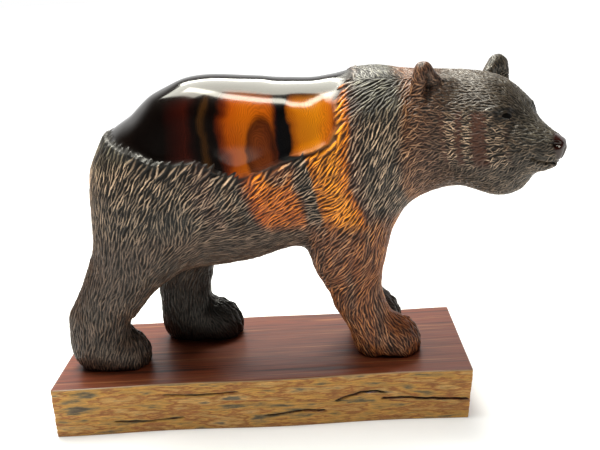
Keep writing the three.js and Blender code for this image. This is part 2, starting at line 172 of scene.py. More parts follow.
SADDLE_EDGE = [
    (-104, 196), (-92, 188), (-82, 183), (-60, 173), (-50, 168), (-28, 169), (-13, 161), (-3, 158),
    (12, 162), (22, 166), (41, 171), (50, 175), (56, 186), (55, 196), (60, 205), (66, 213), (70, 222),
]
SADDLE_SINK = 1.9
SADDLE_CROWN = 0.35
RECOVERY_FROM, RECOVERY_TO = 6, 30
SADDLE_FLARE = 7.5
FLARE_RISE = 2.9
FLARE_CURVE = 1.6
FLARE_ALONG = [
    (-84, 0.0), (-68, 0.3), (-58, 0.9), (-47, 0.9), (-38, 0.35), (-24, 0.35), (-19, 0.9), (-13, 0.9),
    (-8, 0.35), (18, 0.35), (24, 0.9), (30, 1.15), (46, 1.15), (50, 0.5), (53, 0.3),
]
ABOVE_ALL = 400


def distance_to(path, points):
    """The distance of each point from a path of straight stretches."""
    path = np.array(path, float)
    best = np.full(len(points), 1e9)
    for start, end in zip(path[:-1], path[1:]):
        step = end - start
        share = np.clip((points - start) @ step / (step @ step), 0, 1)
        best = np.minimum(best, np.linalg.norm(points - start - share[:, None] * step, axis=1))
    return best


def inside_saddle(points):
    """How far each point lies inside the saddle's edge, in millimetres: below zero in the fur."""
    edge_x, edge_z = np.array(SADDLE_EDGE, float).T
    above = points[:, 2] - np.interp(points[:, 0], edge_x, edge_z, left=ABOVE_ALL, right=ABOVE_ALL)
    return np.sign(above) * distance_to(SADDLE_EDGE, points[:, [0, 2]])


over_edge = inside_saddle(fine)
flare = np.clip(1 - over_edge / SADDLE_FLARE, 0, 1) ** FLARE_CURVE
flare_x, flare_share = np.array(FLARE_ALONG, float).T
flare *= np.interp(fine[:, 0], flare_x, flare_share)
recovery = smoothstep(RECOVERY_FROM, RECOVERY_TO, over_edge)
saddle_floor = FLARE_RISE * flare - SADDLE_SINK * (1 - recovery) + SADDLE_CROWN * recovery

# Face: eyes with lids under a heavy brow, nostrils, the nose pad, the mouth and the folds of jaw, muzzle
# and ears. Each is pressed in or left standing by so many millimetres, the same on both sides. The
# places are in the head's own frame.

EYE = (39.4, 15.3, 13.9)
EYE_FACING = (0.62, 0.76, 0.18)
EYE_LONG_AXIS = (-0.76, 0.64, 0.10)
EYE_HALF_LENGTH, EYE_HALF_HEIGHT = 3.1, 2.0
EYE_SLANT = 0.12
EYE_DEPTH = 8
SOCKET_HALF_LENGTH, SOCKET_HALF_HEIGHT, SOCKET_RISE = 5.2, 3.4, 0.4
EYEBALL_OUT, LID_OUT, SOCKET_IN, UPPER_LID_IN = 0.5, 0.25, 1.7, 0.4
BROW = [(47.5, 8.5, 16.0), (43, 13.5, 18.6), (37.5, 18.8, 18.8), (32, 23.0, 17.0)]
BROW_REACH, BROW_OUT = 2.3, 2.0
NOSTRIL = (63.6, 5.4, 0.3)
NOSTRIL_STRETCH = (1.25, 1.0, 1.0)
NOSTRIL_REACH, NOSTRIL_IN, NOSTRIL_SHADE = 1.7, 2.0, 0.9
NOSE_PAD_FROM, NOSE_PAD_TO = 59.5, 61.5
EAR_LOBE = (6.5, 24.5, 31.0)
EAR_LOBE_REACH, EAR_LOBE_RISE = 6.5, 3.4
MOUTH = [(63.5, 0, -8.6), (61.5, 4.2, -9.8), (58.4, 7.6, -10.4), (55.5, 10.3, -9.0), (52.6, 12.8, -7.2)]
JAW_FOLD = [(50.5, 11.0, -13.5), (45.0, 13.5, -13.8), (39.0, 17.5, -12.2)]
PHILTRUM = [(66.0, 0, -2.5), (65.0, 0, -6.0), (63.5, 0, -8.6)]
MUZZLE_CREASE = [(43.4, 13.0, 9.8), (42.2, 16.0, 5.5), (42.6, 18.0, 0.5), (40.6, 20.0, -3.5)]
EAR_GROOVE = [(2.0, 35.6, 35.5), (1.6, 34.1, 32.5), (0.4, 32.4, 28.0), (1.9, 35.0, 23.9), (2.6, 35.8, 21.0)]

# Each cut with a gouge: its path, how far it reaches to the side, its depth and how much painted shade it
# gets.

FACE_CUTS = {
    "mouth": (MOUTH, 0.8, 0.9, 0.8),
    "jaw_fold": (JAW_FOLD, 1.3, 1.0, 0.5),
    "philtrum": (PHILTRUM, 0.7, 0.6, 0.6),
    "muzzle_crease": (MUZZLE_CREASE, 1.5, 1.1, 0.3),
    "ear_groove": (EAR_GROOVE, 1.5, 1.5, 0.55),
}


def bell(distance, reach):
    """1 at no distance, a third at the reach and next to nothing at twice the reach."""
    return np.exp(-((distance / reach) ** 2))


def unit(vector):
    """The vector at length 1."""
    vector = np.array(vector, float)
    return vector / np.linalg.norm(vector)


both = np.stack([in_head[:, 0], np.abs(in_head[:, 1]), in_head[:, 2]], axis=1)
eye_out = unit(EYE_FACING)
eye_long = unit(np.array(EYE_LONG_AXIS) - eye_out * (np.array(EYE_LONG_AXIS) @ eye_out))
eye_up = np.cross(eye_out, eye_long)
eye_up *= np.sign(eye_up[2])
from_eye = both - np.array(EYE)
eye_a = from_eye @ eye_long
eye_b = from_eye @ eye_up
eye_near = np.abs(from_eye @ eye_out) < EYE_DEPTH
almond = np.hypot(eye_a / EYE_HALF_LENGTH, (eye_b + EYE_SLANT * eye_a) / EYE_HALF_HEIGHT)
in_socket = np.hypot(eye_a / SOCKET_HALF_LENGTH, (eye_b - SOCKET_RISE) / SOCKET_HALF_HEIGHT)
eyeball = np.where(eye_near, smoothstep(1.05, 0.85, almond), 0)
lid = np.where(eye_near, bell(almond - 1.35, 0.25), 0)
socket = np.where(eye_near, bell(in_socket, 1), 0)
upper_lid = np.where(eye_near & (eye_b > 0), bell(almond - 1.9, 0.35), 0)
brow = bell(distance_to(BROW, both), BROW_REACH)
nostril = bell(np.linalg.norm((both - NOSTRIL) / NOSTRIL_STRETCH, axis=1), NOSTRIL_REACH)
face = EYEBALL_OUT * eyeball + LID_OUT * lid - SOCKET_IN * socket - UPPER_LID_IN * upper_lid
face += BROW_OUT * brow - NOSTRIL_IN * nostril
# The eyes are black. The eye sockets, the pressed-in upper lids, the nostrils and the cuts of the face get
# painted shade in the same black.
eye_black_and_painted_shade = eyeball + NOSTRIL_SHADE * nostril + 0.8 * upper_lid + 0.45 * socket
cuts_in_face = {}
for name, (path, reach, depth, painted_shade) in FACE_CUTS.items():
    cuts_in_face[name] = bell(distance_to(path, both), reach)
    face -= depth * cuts_in_face[name]
    eye_black_and_painted_shade += painted_shade * cuts_in_face[name]
eye_black_and_painted_shade = np.clip(eye_black_and_painted_shade, 0, 1)
pad_front = in_head[:, 0] - 0.35 * np.abs(in_head[:, 1]) + 0.25 * in_head[:, 2]
nose_pad = smoothstep(NOSE_PAD_FROM, NOSE_PAD_TO, pad_front)
ear_lobe = bell(np.linalg.norm(both - EAR_LOBE, axis=1), EAR_LOBE_REACH)

# Fur: short cuts of a veiner, about two millimetres apart and eight long, that follow the lie of a real
# coat. They leave ridges with pointed ends, which lap like shingles. The lie is given as (x, z, degrees)
# on the flank, and each stroke by its length, width and height.

LIE_OF_FUR = [
    (-53, 166, -126), (-15, 160, -136), (-63, 142, -123), (-42, 129, -92), (-14, 146, -134),
    (-15, 135, -148), (-13, 123, -163), (-21, 112, -173), (-37, 112, -143), (-81, 98, -117),
    (-69, 101, -98), (-57, 101, -120), (-88, 50, -107), (-76, 54, -70), (-9, 147, -134),
    (7, 140, -138), (23, 133, -142), (0, 120, -162), (50, 163, -132), (43, 138, -162),
    (54, 126, -131), (68, 142, -121), (51, 115, -141), (57, 98, -130), (48, 91, -146),
    (73, 110, -101), (77, 132, -116), (57, 85, -120), (71, 53, -74), (90, 56, -46),
    (82, 69, -60), (58, 213, -154), (68, 205, -153), (78, 207, -164), (57, 200, -143),
    (78, 188, -117), (75, 172, -117), (88, 183, -106), (99, 177, -95), (82, 150, -111),
    (104, 154, -95), (-78, 168, -113), (-87, 132, -108), (-40, 55, -100), (-30, 50, -60),
]
EDGE_STROKE = (12.5, 3.4, 1.9)
BODY_STROKE = (9.0, 1.8, 1.3)
HEAD_STROKE = (5.4, 1.5, 1.0)
EAR_STROKE = (4.5, 1.3, 0.6)
PAW_STROKE = (7.0, 1.7, 0.9)
HEAD_FROM_X = (-14, 4)
EAR_ABOVE_Z = (31, 34)
EAR_BESIDE_Y = (14, 18)
PAW_BELOW_Z = (50, 62)
BODY_MIDDLE_Y = 4
SPREAD_OUTWARD = 0.25
EDGE_ROW_FROM, EDGE_ROW_TO = -3.0, -1.8
CLEAR_OF_SADDLE = -1.2
LENGTH_SPREAD = (0.8, 1.25)
WIDTH_SPREAD = (0.85, 1.15)
HEIGHT_SPREAD = (0.7, 1.0)
SWING, SWING_MORE_ON_HEAD = 0.10, 0.12
SWAY, SWAY_MORE_ON_HEAD = 0.25, 0.25
BEND = 0.25
RIDGE_ROUNDNESS = 1.4
POINTED = 0.6
ENDS_FALL = 0.45
STROKE_LEVEL = 0.45
SEED = 7
STRETCH = 50000

rng = np.random.default_rng(SEED)
guide = np.array(LIE_OF_FUR, float)
guide_angle = np.radians(guide[:, 2])
guide_lie = np.stack([np.cos(guide_angle), np.sin(guide_angle)], axis=1)


def zones(points, heads):
    """How far each point belongs to the head, to an ear and to a paw."""
    head = smoothstep(*HEAD_FROM_X, heads[:, 0])
    ear = smoothstep(*EAR_ABOVE_Z, heads[:, 2]) * smoothstep(*EAR_BESIDE_Y, np.abs(heads[:, 1]))
    paw = 1 - smoothstep(*PAW_BELOW_Z, points[:, 2])
    return head, ear, paw


def lie_of_fur(points, normals, heads):
    """The way the fur lies at each point, along the surface."""
    gap = (points[:, None, 0] - guide[:, 0]) ** 2 + (points[:, None, 2] - guide[:, 1]) ** 2
    weight = 1 / (gap + 30) ** 2
    plan = (weight @ guide_lie) / weight.sum(axis=1, keepdims=True)
    outward = np.sign(points[:, 1] - BODY_MIDDLE_Y) * SPREAD_OUTWARD
    lie = np.stack([plan[:, 0], outward, plan[:, 1]], axis=1)
    head, ear, paw = zones(points, heads)
    side = np.tanh(heads[:, 1] / 8)
    low = smoothstep(0, -16, heads[:, 2])
    back = np.stack([-np.ones(len(points)), 0.30 * side, -0.10 - 0.7 * low], axis=1)
    back = back @ from_head[:3, :3].T
    lie = lie * (1 - head[:, None]) + back * head[:, None]
    lie = lie * (1 - ear[:, None]) + np.array([-0.2, 0, 1]) * ear[:, None]
    lie -= normals * (lie * normals).sum(axis=1, keepdims=True)
    return lie / np.maximum(np.linalg.norm(lie, axis=1, keepdims=True), 1e-6)


lie = np.concatenate([
    lie_of_fur(fine[i:i + STRETCH], fine_normals[i:i + STRETCH], in_head[i:i + STRETCH])
    for i in range(0, len(fine), STRETCH)
])
head_zone, ear_zone, paw_zone = zones(fine, in_head)
body_zone = (1 - head_zone) * (1 - ear_zone) * (1 - paw_zone)
sizes = (
    body_zone[:, None] * BODY_STROKE
    + ((1 - ear_zone) * head_zone)[:, None] * HEAD_STROKE
    + ear_zone[:, None] * EAR_STROKE
    + ((1 - head_zone) * (1 - ear_zone) * paw_zone)[:, None] * PAW_STROKE
)

tree = KDTree(len(fine))
for index, point in enumerate(fine.tolist()):
    tree.insert(point, index)
tree.balance()

plain = np.maximum(nose_pad, 1 - smoothstep(SOLE_Z, SOLE_Z + 1.5, fine[:, 2]))
plain = np.maximum(plain, np.clip(1.5 * eyeball + 0.8 * lid, 0, 1))
plain = np.maximum(plain, np.clip(cuts_in_face["mouth"] + nostril, 0, 1))
height = np.zeros(len(fine))
shade = np.full(len(fine), 0.5)
taken = (over_edge > CLEAR_OF_SADDLE) | (plain > 0.5)
edge_row = np.nonzero((over_edge > EDGE_ROW_FROM) & (over_edge < EDGE_ROW_TO) & ~taken)[0]
sizes[edge_row] = EDGE_STROKE

# The row of tufts along the saddle's edge is cut first, and then strokes wherever the wood is still
# bare. Where two cross, the higher ridge stays.

for start in np.concatenate([rng.permutation(edge_row), rng.permutation(len(fine))]):
    if taken[start]:
        continue
    length = sizes[start, 0] * rng.uniform(*LENGTH_SPREAD)
    width = sizes[start, 1] * rng.uniform(*WIDTH_SPREAD)
    tone = rng.uniform(0, 1)
    swing = rng.normal(0, SWING + SWING_MORE_ON_HEAD * head_zone[start])
    bend = rng.normal(0, BEND)
    sway = rng.normal(0, SWAY + SWAY_MORE_ON_HEAD * head_zone[start])
    along = lie[start] + swing * np.cross(fine_normals[start], lie[start])
    along /= np.linalg.norm(along)
    across = np.cross(fine_normals[start], along)
    near = np.array([found[1] for found in tree.find_range(fine[start], length * 0.55)])
    offset = fine[near] - fine[start]
    facing = fine_normals[near] @ fine_normals[start] > 0.25
    u = offset @ along / (length / 2)
    v = offset @ across / (width / 2) - bend * u * u - sway * np.sin(math.pi * u)
    taper = np.clip(1 - u * u, 0, 1)
    ridge = np.clip(1 - np.abs(v / np.maximum(taper, 0.02) ** POINTED) ** RIDGE_ROUNDNESS, 0, 1)
    lift = np.where(facing, ridge * taper ** ENDS_FALL * (0.85 + 0.15 * u), 0) * rng.uniform(*HEIGHT_SPREAD)
    higher = lift > height[near]
    height[near[higher]] = lift[higher]
    shade[near[higher]] = tone
    closed = facing & (np.abs(u) < 0.55) & (np.abs(v) < 1.5)
    taken[near[closed]] = True

# On the cheeks the strokes stand in upright columns, with smooth red-brown wood between them. A column
# is given by the place of its middle and its half width, in the head's own frame.

COLUMNS = [(15.5, 3.1), (24.0, 2.4), (37.6, 4.4)]
COLUMN_LEAN = 0.187
COLUMN_SOFTNESS = 0.7
ZIGZAGS = [(0.9, 1.9, 0), (0.5, 4.1, 1)]
CHEEK_FROM_Z, CHEEK_TO_Z = (-15, -11), (17, 14)
CHEEK_FROM_X, CHEEK_TO_X = (9, 13), (44, 40)
CHEEK_FROM_Y = (10, 14)
EYE_ABOVE_Z, EYE_BEYOND_X = (7, 9), (32, 35)

column_x = in_head[:, 0] + COLUMN_LEAN * in_head[:, 2]
zigzag = sum(swing * np.sin(in_head[:, 2] * pitch + start) for swing, pitch, start in ZIGZAGS)
columns = np.zeros(len(fine))
for middle, half in COLUMNS:
    away = np.abs(column_x - middle + zigzag)
    columns = np.maximum(columns, smoothstep(half + COLUMN_SOFTNESS, half - COLUMN_SOFTNESS, away))
on_cheek = smoothstep(*CHEEK_FROM_Z, in_head[:, 2]) * smoothstep(*CHEEK_TO_Z, in_head[:, 2])
on_cheek *= smoothstep(*CHEEK_FROM_X, column_x) * smoothstep(*CHEEK_TO_X, column_x)
on_cheek *= smoothstep(*CHEEK_FROM_Y, both[:, 1])
on_cheek *= 1 - smoothstep(*EYE_ABOVE_Z, in_head[:, 2]) * smoothstep(*EYE_BEYOND_X, in_head[:, 0])
columns = columns * on_cheek + (1 - on_cheek)

# All of the relief is cut into the skin at once: fur, saddle and face. The tail is a short stump on the
# rump.

SKIN_GAIN = 0.35
TAIL = (-122, 2, 158)
TAIL_REACH, TAIL_OUT = 11, 1.1

relief = sizes[:, 2] * (height - STROKE_LEVEL) * (1 - plain)
relief = np.where(over_edge > 0, saddle_floor + sizes[:, 2] * height, relief) + face
tail = bell(np.linalg.norm(fine - TAIL, axis=1), TAIL_REACH)
relief += SKIN_GAIN + TAIL_OUT * tail
carved = fine + fine_normals * relief[:, None]
carved[:, 2] += EAR_LOBE_RISE * ear_lobe
carved[:, 2] = np.maximum(carved[:, 2], SOLE_Z)
move_points(bear, carved)

# The mesh is thinned, and then cut by four planes into five pieces that meet without a gap, because the
# mesh of each piece has a limit. The wood itself is one block. Each cut is a place and a direction.

TRIANGLES = 5 * 160000
CUTS_BETWEEN = {
    "carved_head": ((100, 0, 172), (0.82, -0.57, 0)),
    "carved_forelegs": ((30, 0, 100), (0.55, 0, -0.83)),
    "carved_hind_legs": ((-35, 0, 100), (-0.55, 0, -0.83)),
    "carved_hindquarters": ((-22, 0, 150), (-1, 0, 0)),
}


def mark(obj, name, values):
    """Keeps a value for each point of the mesh, which the material reads."""
    attribute = obj.data.attributes.new(name, "FLOAT", "POINT")
    attribute.data.foreach_set("value", values.astype(np.float32))


def bisect(obj, place, direction, **kept_side):
    """Cuts the mesh by a plane and closes it there."""
    pick_only(obj)
    bpy.ops.object.mode_set(mode="EDIT")
    bpy.ops.mesh.select_all(action="SELECT")
    bpy.ops.mesh.bisect(plane_co=[c * MM for c in place], plane_no=direction, use_fill=True, **kept_side)
    bpy.ops.object.mode_set(mode="OBJECT")


def keep_whole_normals(piece):
    """Shades the carved skin by the normals of the uncut bear, so that no seam shows."""
    mesh = piece.data
    corner_points = np.zeros(len(mesh.loops), np.int32)
    mesh.loops.foreach_get("vertex_index", corner_points)
    whole = np.zeros(len(mesh.vertices) * 3, np.float32)
    mesh.attributes["whole_normal"].data.foreach_get("vector", whole)
    normals = whole.reshape(-1, 3)[corner_points]
    for polygon in mesh.polygons:
        if len(polygon.vertices) > 4:
            normals[polygon.loop_start:polygon.loop_start + polygon.loop_total] = polygon.normal
    mesh.normals_split_custom_set(normals.tolist())
    mesh.attributes.remove(mesh.attributes["whole_normal"])


fine_triangles = sum(len(polygon.vertices) - 2 for polygon in bear.data.polygons)
apply_modifier(bear, "DECIMATE", ratio=min(1, TRIANGLES / fine_triangles))
kept = points_of(bear)
source = np.array([tree.find(point)[1] for point in kept.tolist()])
bare = smoothstep(0.3, 0.05, height)
marks = {
    "ridge": height,
    "tone": shade,
    "polish": np.maximum(smoothstep(-0.5, 1.5, over_edge) * bare, 0.8 * nose_pad),
    "dark": eye_black_and_painted_shade,
    "wet": np.maximum(eyeball, nose_pad),
    "nose": nose_pad,
    "up": np.clip(fine_normals[:, 2], 0, 1),
    "column": columns,
    "cheek": on_cheek,
    "rim": 1 - smoothstep(0, RECOVERY_FROM, over_edge),
}
for name, values in marks.items():
    mark(bear, name, values[source])
whole_normal = bear.data.attributes.new("whole_normal", "FLOAT_VECTOR", "POINT")
whole_normal.data.foreach_set("vector", normals_of(bear).astype(np.float32).ravel())
pick_only(bear)
bpy.ops.object.shade_smooth()

bear_pieces = []
for name, (place, direction) in CUTS_BETWEEN.items():
    piece = bpy.data.objects.new(name, bear.data.copy())
    bpy.context.scene.collection.objects.link(piece)
    bisect(piece, place, direction, clear_inner=True)
    bisect(bear, place, direction, clear_outer=True)
    bear_pieces.append(piece)
bear.name = "carved_forequarters"
bear_pieces.append(bear)
for piece in bear_pieces:
    keep_whole_normals(piece)

# Desert ironwood, carved, waxed and over the back polished: near black heartwood with streaks of red and
# bright orange, which run down through the block. The eye sees them as bands along the flank, clear in
# the polish and shifted a little in the fur, which is cut deeper.

FIGURE = [
    (-140, "4e3526"), (-112, "3c281c"), (-95, "1d130e"), (-60, "0a0605"), (-45, "0a0605"), (-36, "240906"),
    (-30, "300d07"), (-25, "140706"), (-22.5, "0a0605"), (-19.5, "3c240e"), (-16, "0c0605"), (-12, "0c0605"),
    (-9, "5e2006"), (-5, "a84a09"), (3, "b85a0b"), (17, "a24a0a"), (20.5, "2c0f08"), (22.5, "07070a"),
    (28, "0a0808"), (29.8, "9a4c0a"), (34, "c06c0e"), (45, "c8760f"), (50, "b45a0e"), (53, "3c130a"),
    (61, "1a1411"), (78, "1c1714"), (84, "5a3016"), (93, "4e2c1a"), (110, "33241a"), (140, "32281f"),
    (150, "332c24"),
]
FIGURE_FROM, FIGURE_TO = -140, 180
FIGURE_WANDER = 2.5
SHIFT_IN_FUR = 9.0
LEAN_FROM_Z, LEAN_TO_Z, LEAN = 150.0, 50.0, 34.0


def linear(hex_colour):
    """An sRGB hex colour as the linear values that a shader takes."""
    channels = [int(hex_colour[i:i + 2], 16) / 255 for i in (0, 2, 4)]
    return tuple(c / 12.92 if c <= 0.04045 else ((c + 0.055) / 1.055) ** 2.4 for c in channels) + (1,)


def add(tree, kind, inputs=(), **settings):
    """One shader node: its settings, and for each input by name or number a value or what feeds it.

    A Map Range node's inputs 1 and 2 are the range it reads, and 3 and 4 the range it gives.
    """
    made = tree.nodes.new("ShaderNode" + kind)
    for name, value in settings.items():
        setattr(made, name, value)
    for name, value in dict(inputs).items():
        if isinstance(value, bpy.types.NodeSocket):
            tree.links.new(value, made.inputs[name])
        else:
            made.inputs[name].default_value = value
    return made


def set_ramp(ramp, stops):
    """Fills a colour ramp with stops of (position, colour)."""
    elements = ramp.color_ramp.elements
    while len(elements) > 1:
        elements.remove(elements[-1])
    for number, (position, colour) in enumerate(stops):
        element = elements[0] if number == 0 else elements.new(position)
        element.position = position
        element.color = linear(colour)


def start_material(name):
    """A new material, its nodes, and the place on the object in millimetres."""
    made = bpy.data.materials.new(name)
    made.use_nodes = True
    nodes = made.node_tree
    nodes.nodes.clear()
    in_metres = add(nodes, "TexCoord").outputs["Object"]
    in_mm = add(nodes, "VectorMath", {0: in_metres, 1: (1000, 1000, 1000)}, operation="MULTIPLY")
    return made, nodes, in_mm.outputs[0]


ironwood, wood, millimetres = start_material("desert_ironwood_carved_and_waxed")
x_mm, y_mm, z_mm = add(wood, "SeparateXYZ", {0: millimetres}).outputs
marked = {name: add(wood, "Attribute", attribute_name=name).outputs["Fac"] for name in marks}
unpolished = add(wood, "Math", {0: 1.0, 1: marked["polish"]}, operation="SUBTRACT").outputs[0]

drift = add(wood, "TexNoise", {"Vector": millimetres, "Scale": 0.05, "Detail": 3.0, "Roughness": 0.5})
wander = add(wood, "MapRange", {0: drift.outputs[0], 1: 0.3, 2: 0.7, 3: -FIGURE_WANDER, 4: FIGURE_WANDER})
in_fur = add(wood, "Math", {0: unpolished, 1: -SHIFT_IN_FUR, 2: wander.outputs[0]}, operation="MULTIPLY_ADD")
lean = add(wood, "MapRange", {0: z_mm, 1: LEAN_FROM_Z, 2: LEAN_TO_Z, 3: 0.0, 4: LEAN}).outputs[0]
leaning = add(wood, "Math", {0: x_mm, 1: lean}, operation="SUBTRACT").outputs[0]
figure_x = add(wood, "Math", {0: leaning, 1: in_fur.outputs[0]}, operation="ADD").outputs[0]
figure_share = add(wood, "MapRange", {0: figure_x, 1: FIGURE_FROM, 2: FIGURE_TO, 3: 0.0, 4: 1.0}).outputs[0]
figure = add(wood, "ValToRGB", {0: figure_share})
set_ramp(figure, [((x - FIGURE_FROM) / (FIGURE_TO - FIGURE_FROM), colour) for x, colour in FIGURE])

# Nested growth rings stand around a brown heart in the orange patch, taller than they are wide.

HEART_X, HEART_Z = 11.5, 172.0
RING_TALL, RING_WIDE = 20.0, 8.7
RING_REACH = 12.0
RING_FADE_FROM, RING_FADE_TO, RING_SHARE = 10.2, 7.4, 0.85
RINGS = [
    (0.0, "54210d"), (0.35, "5c2810"), (0.55, "3a1409"), (0.66, "220b06"), (0.74, "2e0f07"), (0.82, "6a2c0c"),
]

ring_x = add(wood, "Math", {0: figure_x, 1: -HEART_X}, operation="ADD").outputs[0]
ring_z = add(
    wood, "MapRange", {0: z_mm, 1: HEART_Z, 2: HEART_Z + RING_TALL, 3: 0.0, 4: RING_WIDE}, clamp=False
).outputs[0]
ring = add(wood, "CombineXYZ", {0: ring_x, 1: ring_z})
ring_r = add(wood, "VectorMath", {0: ring.outputs[0]}, operation="LENGTH").outputs["Value"]
in_ring = add(
    wood, "MapRange", {0: ring_r, 1: RING_FADE_FROM, 2: RING_FADE_TO, 3: 0.0, 4: RING_SHARE},
    interpolation_type="SMOOTHSTEP",
).outputs[0]
ring_edge = add(wood, "MapRange", {0: ring_r, 1: 0.0, 2: RING_REACH, 3: 0.0, 4: 1.0}).outputs[0]
ring_colour = add(wood, "ValToRGB", {0: ring_edge})
set_ramp(ring_colour, RINGS)
ringed = add(
    wood, "Mix", {0: in_ring, 6: figure.outputs[0], 7: ring_colour.outputs[0]}, data_type="RGBA"
).outputs[2]

# Below the belly the wood is plain brown, and reddish in the forelegs. The legs of the far side get
# painted shade.

LEG_WOOD_BELOW, FIGURE_ABOVE = 120.0, 134.0
FORELEG_FROM, FORELEG_TO = 32.0, 42.0
FAR_FROM, FAR_TO, FAR_SHADE = -4.0, 12.0, 0.12
LEG_FROM, LEG_TO = 130.0, 110.0
HIND_LEG_WOOD = [(0.3, "2a1d16"), (0.5, "3a271d"), (0.7, "30231b")]
FORELEG_WOOD = [(0.3, "5a2f16"), (0.45, "7a3c16"), (0.55, "6a3518"), (0.7, "3e241a")]
FORELEG_GRAIN = (0.08, 0.05, 0.018)

hind_patches = add(wood, "TexNoise", {"Vector": millimetres, "Scale": 0.045, "Detail": 4.0, "Roughness": 0.6})
hind_wood = add(wood, "ValToRGB", {0: hind_patches.outputs[0]})
set_ramp(hind_wood, HIND_LEG_WOOD)
fore_place = add(wood, "Mapping", {0: millimetres, "Scale": FORELEG_GRAIN}).outputs[0]
fore_patches = add(wood, "TexNoise", {"Vector": fore_place, "Scale": 1.0, "Detail": 3.0, "Roughness": 0.55})
fore_wood = add(wood, "ValToRGB", {0: fore_patches.outputs[0]})
set_ramp(fore_wood, FORELEG_WOOD)
is_fore = add(
    wood, "MapRange", {0: x_mm, 1: FORELEG_FROM, 2: FORELEG_TO}, interpolation_type="SMOOTHSTEP"
).outputs[0]
leg_wood = add(
    wood, "Mix", {0: is_fore, 6: hind_wood.outputs[0], 7: fore_wood.outputs[0]}, data_type="RGBA"
).outputs[2]
is_high = add(
    wood, "MapRange", {0: z_mm, 1: LEG_WOOD_BELOW, 2: FIGURE_ABOVE}, interpolation_type="SMOOTHSTEP"
).outputs[0]
near_wood = add(wood, "Mix", {0: is_high, 6: leg_wood, 7: ringed}, data_type="RGBA").outputs[2]
# Painted shade on the legs of the far side, which the body keeps from the light.
far_side_shade = add(wood, "MapRange", {0: y_mm, 1: FAR_FROM, 2: FAR_TO, 3: 1.0, 4: FAR_SHADE}).outputs[0]
is_leg = add(wood, "MapRange", {0: z_mm, 1: LEG_FROM, 2: LEG_TO, 3: 0.0, 4: 1.0}).outputs[0]
far_leg_shade = add(wood, "Mix", {0: is_leg, 2: 1.0, 3: far_side_shade}, data_type="FLOAT").outputs[0]
base = add(wood, "VectorMath", {0: near_wood, "Scale": far_leg_shade}, operation="SCALE").outputs[0]

# The polished ridge of the back is black, and growth lines cross all of the polish. In the real wood they
# stand closer together. They are drawn coarser here, so that they show.

BLACK_RIDGE = "0e0907"
RIDGE_UP_FROM, RIDGE_UP_TO = 0.60, 0.80
LINE_PITCH_MM = 0.85
LINE_RIPPLE_MM = 5.0
LINE_DARK, LINE_PALE = 0.72, 1.08

on_ridge = add(
    wood, "MapRange", {0: marked["up"], 1: RIDGE_UP_FROM, 2: RIDGE_UP_TO}, interpolation_type="SMOOTHSTEP"
).outputs[0]
polished_ridge = add(wood, "Math", {0: on_ridge, 1: marked["polish"]}, operation="MULTIPLY").outputs[0]
topped = add(wood, "Mix", {0: polished_ridge, 6: base, 7: linear(BLACK_RIDGE)}, data_type="RGBA").outputs[2]
ripple = add(wood, "TexNoise", {"Vector": millimetres, "Scale": 0.12, "Detail": 3.0}).outputs[0]
rippled = add(wood, "Math", {0: ripple, 1: LINE_RIPPLE_MM, 2: ring_r}, operation="MULTIPLY_ADD").outputs[0]
phase = add(wood, "Math", {0: rippled, 1: 2 * math.pi / LINE_PITCH_MM}, operation="MULTIPLY").outputs[0]
lines = add(wood, "Math", {0: phase}, operation="SINE").outputs[0]
line_tone = add(wood, "MapRange", {0: lines, 1: -1.0, 2: 1.0, 3: LINE_DARK, 4: LINE_PALE}).outputs[0]
lined = add(wood, "VectorMath", {0: topped, "Scale": line_tone}, operation="SCALE").outputs[0]

# In the fur the grooves get painted shade, and the ridges are rubbed pale and get a painted highlight
# for the shine of their wax, strong on some strokes and weak on others. The painted highlight is
# strongest under the saddle and on the cheeks, weakest on top, and golden where the wood is orange.

GROOVE_SHADE, RIDGE_HIGHLIGHT = 0.15, 1.5
WAX_AND_HIGHLIGHT_FROM_RIDGE, WAX_AND_HIGHLIGHT_TO_RIDGE, MOST_WAX_AND_HIGHLIGHT = 0.50, 0.88, 0.85
THIN_WAX_AND_HIGHLIGHT, THICK_WAX_AND_HIGHLIGHT = 0.25, 1.25
CHEEK_WAX_AND_HIGHLIGHT = 1.7
RUBBED_AND_HIGHLIT_WOOD = 1.9
SIDE_WAX_HIGHLIGHT, TOP_WAX_HIGHLIGHT, ORANGE_WAX_HIGHLIGHT = "927c66", "6f6c5a", "b47c24"
TOP_UP_FROM, TOP_UP_TO = 0.30, 0.60
HIND_LEG_HIGHLIGHT, FORELEG_HIGHLIGHT, FLANK_HIGHLIGHT, HEAD_HIGHLIGHT, CHEEK_HIGHLIGHT = 0.75, 2.1, 5.0, 1.15, 2.2
TOP_HIGHLIGHT, ORANGE_HIGHLIGHT = 0.38, 0.55
HIGHLIGHT_RISES_FROM, HIGHLIGHT_RISES_TO = 112.0, 165.0
NECK_FROM, NECK_TO = 84.0, 104.0
ORANGE_FROM, ORANGE_FULL, ORANGE_MOST = 0.04, 0.30, 0.36

# Painted shade darkens the grooves of the fur, and a painted highlight lightens its ridges.
groove_shade_and_ridge_highlight = add(wood, "MapRange", {0: marked["ridge"], 1: 0.25, 2: 0.8, 3: GROOVE_SHADE, 4: RIDGE_HIGHLIGHT})
fur_with_painted_light = add(wood, "VectorMath", {0: base, "Scale": groove_shade_and_ridge_highlight.outputs[0]}, operation="SCALE").outputs[0]
fur_colour = add(wood, "Mix", {0: unpolished, 6: lined, 7: fur_with_painted_light}, data_type="RGBA").outputs[2]
